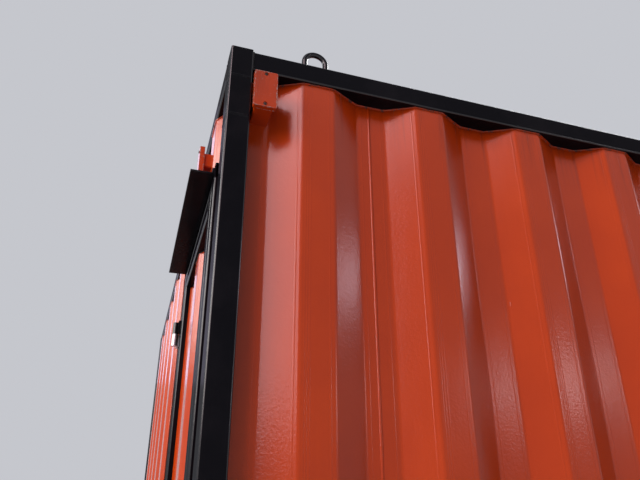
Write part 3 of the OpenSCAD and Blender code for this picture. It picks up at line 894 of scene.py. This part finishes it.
def post_splices():
    mesh = bmesh.new()
    wander = random.Random(5)

    def heights(z):
        return [z + wander.uniform(-SPLICE_WANDER, SPLICE_WANDER) for _ in range(SPLICE_STEPS + 1)]

    def places(size):
        return [SPLICE_EDGE + (size - 2 * SPLICE_EDGE) * i / SPLICE_STEPS for i in range(SPLICE_STEPS + 1)]

    for drop in SPLICE_DROPS:
        z = post_high.z - drop
        on_side = [(post_low.x + s, post_low.y, h) for s, h in zip(places(post_w), heights(z))]
        add_bead(mesh, on_side, SPLICE_BEAD, seed=int(drop * 1000), flat=SPLICE_FLAT, flat_axis=1)
        on_end = [(post_low.x, post_low.y + s, h) for s, h in zip(places(post_d), heights(z))]
        add_bead(mesh, on_end, SPLICE_BEAD, seed=int(drop * 900), flat=SPLICE_FLAT, flat_axis=0)
    made_piece("post_splice_beads", mesh, BLACK_BEADS, "cabin")


post_splices()

# %% Beads round the feet of the lifting eyes
EYE_W, EYE_BAR = 0.064, 0.013
EYE_BEAD, BESIDE_EYE = 0.0030, 0.0006


def eye_beads():
    mesh = bmesh.new()
    low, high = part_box("lifting_eyes")
    side_y = high.y - EYE_BAR / 2
    seed = 300
    for x in (low.x + EYE_W / 2, high.x - EYE_W / 2):
        for y in (-side_y, side_y):
            for leg_x in (x - (EYE_W - EYE_BAR) / 2, x + (EYE_W - EYE_BAR) / 2):
                seed += 1
                foot = ring_of((leg_x, y, low.z), EYE_BAR / 2 + BESIDE_EYE)
                add_bead(mesh, foot, EYE_BEAD, step=0.0012, seed=seed, closed=True)
    made_piece("lifting_eye_beads", mesh, BLACK_BEADS, "cabin")


eye_beads()

# %% [markdown]
# ## Welds on the door
# The hinge plates are welded on their free edges, half of them to the leaf and half to the jamb,
# so the beads are two pieces that ride on different bodies. The corners of the leaf are butt welds,
# its infill has a seam along its top and foot, and the handle's feet have a bead round them.

# %% Beads round the hinge plates
leaf_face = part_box("leaf_stile_hinge_side")[0].x
hinge_joint = next(j for j in frame["record"]["behaviour"]["joints"] if j["name"] == "door_hinge")
hinge_y = hinge_joint["pos_m"][1]
PLATE_ROOT, PLATE_REACH, PLATE_H = 0.006, 0.028, 0.036
PIN_ABOVE = 0.031
PLATE_BEAD = 0.0022


def plate_beads(node, side, above=0.0):
    """Beads round the free edges of a node's three hinge plates, on one side of the pins. above is
    how far the node reaches above the highest plate."""
    mesh = bmesh.new()
    low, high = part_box(node)
    climb = high.z - low.z - PLATE_H - above
    root, edge = hinge_y + side * PLATE_ROOT, hinge_y + side * PLATE_REACH
    for i, foot in enumerate((low.z, low.z + climb / 2, low.z + climb)):
        top = foot + PLATE_H
        outline = [(leaf_face, y, z) for y, z in ((root, foot), (edge, foot), (edge, top), (root, top))]
        add_bead(mesh, outline, PLATE_BEAD, seed=400 + i)
    return mesh


made_piece("hinge_leaf_beads", plate_beads("hinge_leaf_halves", -1), BLACK_BEADS,
           "door")
made_piece("hinge_frame_beads", plate_beads("hinge_frame_halves", 1, PIN_ABOVE), BLACK_BEADS,
           "cabin")


# %% Beads on the leaf
LEAF_BUTT, LEAF_FLAT, INFILL_BEAD = 0.0030, 0.22, 0.0024
FROM_RAIL_EDGE = 0.004


def leaf_beads():
    mesh = bmesh.new()
    for rail in ("leaf_top_rail", "leaf_bottom_rail"):
        low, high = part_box(rail)
        for i, y in enumerate((low.y, high.y)):
            joint = [(leaf_face, y, low.z + FROM_RAIL_EDGE), (leaf_face, y, high.z - FROM_RAIL_EDGE)]
            add_bead(mesh, joint, LEAF_BUTT, seed=500 + i, flat=LEAF_FLAT, flat_axis=0)
    low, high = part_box("leaf_infill")
    line = corrugated(low.y - RIGHT_SIDE, high.y - RIGHT_SIDE, *end_ridges)
    for z in (low.z, high.z):
        seam = [(FRONT + LEAF_BACK + depth, RIGHT_SIDE + s, z) for s, depth in line]
        add_bead(mesh, seam, INFILL_BEAD, step=0.006, seed=520)
    made_piece("leaf_beads", mesh, BLACK_BEADS, "door")


leaf_beads()

# %% Beads round the feet of the handle
HANDLE_BAR = 0.012
HANDLE_BEAD, BESIDE_HANDLE = 0.0024, 0.0004


def handle_beads():
    mesh = bmesh.new()
    low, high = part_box("door_handle")
    for z in (low.z + HANDLE_BAR / 2, high.z - HANDLE_BAR / 2):
        foot = ring_of((high.x, (low.y + high.y) / 2, z), HANDLE_BAR / 2 + BESIDE_HANDLE, axis=0)
        add_bead(mesh, foot, HANDLE_BEAD, step=0.0011, seed=int(z * 100), closed=True)
    made_piece("door_handle_beads", mesh, BLACK_BEADS, "door")


handle_beads()

# %% [markdown]
# ## Screws
# The lids of the two boxes, the lock's cover and the floor boards are held by screws. A head is
# built in rings of twelve points: the rim, the rounded top, the outline of the cross, and the same
# outline lower down, which is the floor of the recess.

# %% A cross-head screw
REACH, HALF = 0.56, 0.15
CROSS = [(REACH, -HALF), (REACH, HALF), (HALF, HALF), (HALF, REACH), (-HALF, REACH), (-HALF, HALF),
         (-REACH, HALF), (-REACH, -HALF), (-HALF, -HALF), (-HALF, -REACH), (HALF, -REACH), (HALF, -HALF)]
# each ring's radius and lift, in radii and heights of the head
DOMED = ((1.0, 0.0), (1.0, 0.35), (0.90, 0.75), (0.72, 0.96))
SUNK = ((1.0, 0.0), (1.0, 0.06), (0.97, 0.08))
RECESS_TAPER, RECESS_DEEP = 0.8, 0.55


def add_screw(mesh, at, normal, radius=0.0036, height=0.0019, turn=0.0, sunk=False):
    """Adds a screw's head to a bmesh. turn is how far its cross is turned, in radians."""
    normal = Vector(normal).normalized()
    side, over = square_to(normal)
    angles = [math.atan2(y, x) for x, y in CROSS]
    rims, top = (SUNK, 0.08) if sunk else (DOMED, 1.0)

    def ring(points, lift):
        placed = []
        for x, y in points:
            a = x * math.cos(turn) - y * math.sin(turn)
            b = x * math.sin(turn) + y * math.cos(turn)
            out = (side * a - over * b) * radius + normal * lift * height
            placed.append(mesh.verts.new(Vector(at) + out))
        return placed

    rings = [ring([(reach * math.cos(t), reach * math.sin(t)) for t in angles], lift)
             for reach, lift in rims]
    rings.append(ring(CROSS, top))
    rings.append(ring([(x * RECESS_TAPER, y * RECESS_TAPER) for x, y in CROSS], top - RECESS_DEEP))
    join_rings(mesh, rings)
    mesh.faces.new(rings[-1])


# %% Screw steel
STEEL = (0.045, 0.042, 0.045, 1)
STEEL_RUST = (0.085, 0.040, 0.024, 1)
RUST_CRUST = 0.00006


def dark_steel():
    metal = Finish("screw_steel")
    rust = metal.noise(900, detail=4, rough=0.7).between(0.42, 0.62)
    return metal.done(base_color=metal.mixed(STEEL, STEEL_RUST, rust), roughness=0.45 + rust * 0.3,
                      metallic=1 - rust * 0.8, normal=metal.bumped(rust, RUST_CRUST, 0.6))


SCREW = dark_steel()

# %% [markdown]
# The corner box's lid is the outermost piece on its side, so its screws sit in two shallow round
# dimples, which a Boolean modifier cuts into the lid. The cutter is hidden, and only its shape is
# used. The modifier goes first in the lid's list, so that the bends are rounded after the cut.

# %% Dimples in the corner box's lid
lid_low, lid_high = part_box("corner_box_lid")
lid_x = (lid_low.x + lid_high.x) / 2
LID_SCREWS_IN = (0.0075, 0.0065)
lid_screw_z = (lid_low.z + LID_SCREWS_IN[0], lid_high.z - LID_SCREWS_IN[1])
DIMPLE, DIMPLE_R, CUTTER = 0.0021, 0.0046, 0.004


def lid_dimples():
    cutters = bmesh.new()
    for z in lid_screw_z:
        at = Matrix.Translation((lid_x, lid_low.y + DIMPLE - CUTTER / 2, z))
        bmesh.ops.create_cone(cutters, cap_ends=True, segments=32, radius1=DIMPLE_R, radius2=DIMPLE_R,
                              depth=CUTTER, matrix=at @ Matrix.Rotation(math.radians(90), 4, "X"))
    data = bpy.data.meshes.new("lid_dimples")
    cutters.to_mesh(data)
    cutters.free()
    dimples = bpy.data.objects.new("lid_dimples", data)
    scene.collection.objects.link(dimples)
    dimples.hide_render = True
    dimples.hide_set(True)
    return dimples


lid = nodes["corner_box_lid"]
cut = lid.modifiers.new("dimples", "BOOLEAN")
cut.operation = "DIFFERENCE"
cut.object = lid_dimples()
lid.modifiers.move(len(lid.modifiers) - 1, 0)
print("two dimples", DIMPLE, "m deep in the lid")

# %% Lid screws
BOX_SCREW_IN = 0.007


def lid_screws():
    mesh = bmesh.new()
    for i, z in enumerate(lid_screw_z):
        add_screw(mesh, (lid_x, lid_low.y + DIMPLE, z), (0, -1, 0), height=0.0018, turn=0.4 + i)
    low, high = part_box("door_box_lid")
    for i, z in enumerate((low.z + BOX_SCREW_IN, high.z - BOX_SCREW_IN)):
        add_screw(mesh, (low.x, (low.y + high.y) / 2, z), (-1, 0, 0), turn=0.9 + i)
    made_piece("lid_screws", mesh, SCREW, "cabin")


lid_screws()

# %% [markdown]
# ## The lock
# The lock's cover has a screw at its top and foot, and a raised ring round a keyway. The keyway is
# a thin dark plate in the keyhole's outline, a slot that widens at its upper end, because the real
# one is too deep to see into.

# %% Lock cover screws and the ring round the keyway
lock_low, lock_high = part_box("door_lock")
lock_y = (lock_low.y + lock_high.y) / 2
lock_z = (lock_low.z + lock_high.z) / 2
RIM_R, RIM_BEAD, RIM_PROUD = 0.0072, 0.0007, 0.0001
LOCK_SCREW_IN = 0.008


def lock_screws():
    mesh = bmesh.new()
    for z in (lock_low.z + LOCK_SCREW_IN, lock_high.z - LOCK_SCREW_IN):
        add_screw(mesh, (FRONT, lock_y, z), (-1, 0, 0), radius=0.0032, height=0.0016, turn=z * 7)
    made_piece("lock_cover_screws", mesh, ZINC, "door")


def keyhole_rim():
    mesh = bmesh.new()
    rim = ring_of((lock_low.x - RIM_PROUD, lock_y, lock_z), RIM_R, axis=0, points=32)
    add_bead(mesh, rim, RIM_BEAD, step=0.0012, seed=7, closed=True)
    made_piece("keyhole_rim", mesh, ZINC, "door")


lock_screws()
keyhole_rim()

# %% The keyway
SLOT_HALF, SLOT_FOOT = 0.0009, -0.0042
HEAD_HALF, HEAD_FOOT, HEAD_SIDE, HEAD_TOP = 2.2 * SLOT_HALF, 0.0020, 0.0040, 0.0048
SHOULDER = 0.0016
KEYWAY_FROM_FACE = (0.0004, -0.0003)


def keyway():
    right_side = [(SLOT_HALF, SLOT_FOOT), (SLOT_HALF, SHOULDER),
                  (HEAD_HALF, HEAD_FOOT), (HEAD_HALF, HEAD_SIDE)]
    left_side = [(-y, z) for y, z in reversed(right_side)]
    outline = right_side + [(0, HEAD_TOP)] + left_side
    mesh = bmesh.new()
    back, face = [[mesh.verts.new((lock_low.x + x, lock_y + y, lock_z + z)) for y, z in outline]
                  for x in KEYWAY_FROM_FACE]
    mesh.faces.new(face)
    mesh.faces.new(reversed(back))
    join_rings(mesh, [back, face])
    made_piece("keyway", mesh, SCREW, "door", sharp=30)


keyway()

# %% [markdown]
# ## Screws in the floor
# A row of sunk screws goes into each cross member under the boards. They were put in by eye, so
# each one is a few millimetres off its place and turned its own way.

# %% Floor screws
JOIST_PITCH, JOISTS_EACH_WAY = 0.420, 7
SCREWS_IN_ROW, FROM_EDGE, BY_EYE = 9, 0.06, 0.004


def floor_screws():
    mesh = bmesh.new()
    low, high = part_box("floor_boards")
    chance = random.Random(12)
    gap = (high.y - low.y - 2 * FROM_EDGE) / (SCREWS_IN_ROW - 1)
    rows = [i * JOIST_PITCH for i in range(-JOISTS_EACH_WAY, JOISTS_EACH_WAY + 1)]
    for x in rows:
        if low.x < x < high.x:
            for k in range(SCREWS_IN_ROW):
                y = low.y + FROM_EDGE + k * gap
                at = (x + chance.uniform(-BY_EYE, BY_EYE), y + chance.uniform(-BY_EYE, BY_EYE), high.z)
                add_screw(mesh, at, (0, 0, 1), radius=0.0042, height=0.0010,
                          turn=chance.uniform(0, 3), sunk=True)
    made_piece("floor_screws", mesh, SCREW, "cabin")


floor_screws()

# %% [markdown]
# ## Floor
# A plain pale floor takes the cabin's shadow, so it is seen to stand on something. It isn't part of
# the object. The lights reach only the floor near the cabin, so Light Path adds the pale tone that
# the camera and reflections see, which throws no light on the cabin.

# %% Studio floor
FLOOR_PAINT = (0.40, 0.40, 0.40, 1)
FLOOR_TONE = (0.38, 0.385, 0.40, 1)
NO_LIGHT = (0, 0, 0, 1)

bpy.ops.mesh.primitive_plane_add(size=120, location=(0, 0, 0))
ground = bpy.context.object
ground.name = "studio_floor"
pale = Finish("pale_floor")
ground.data.materials.append(pale.done(
    base_color=FLOOR_PAINT, roughness=0.9, emission_strength=1,
    emission_color=pale.mixed(NO_LIGHT, FLOOR_TONE, pale.seen())))
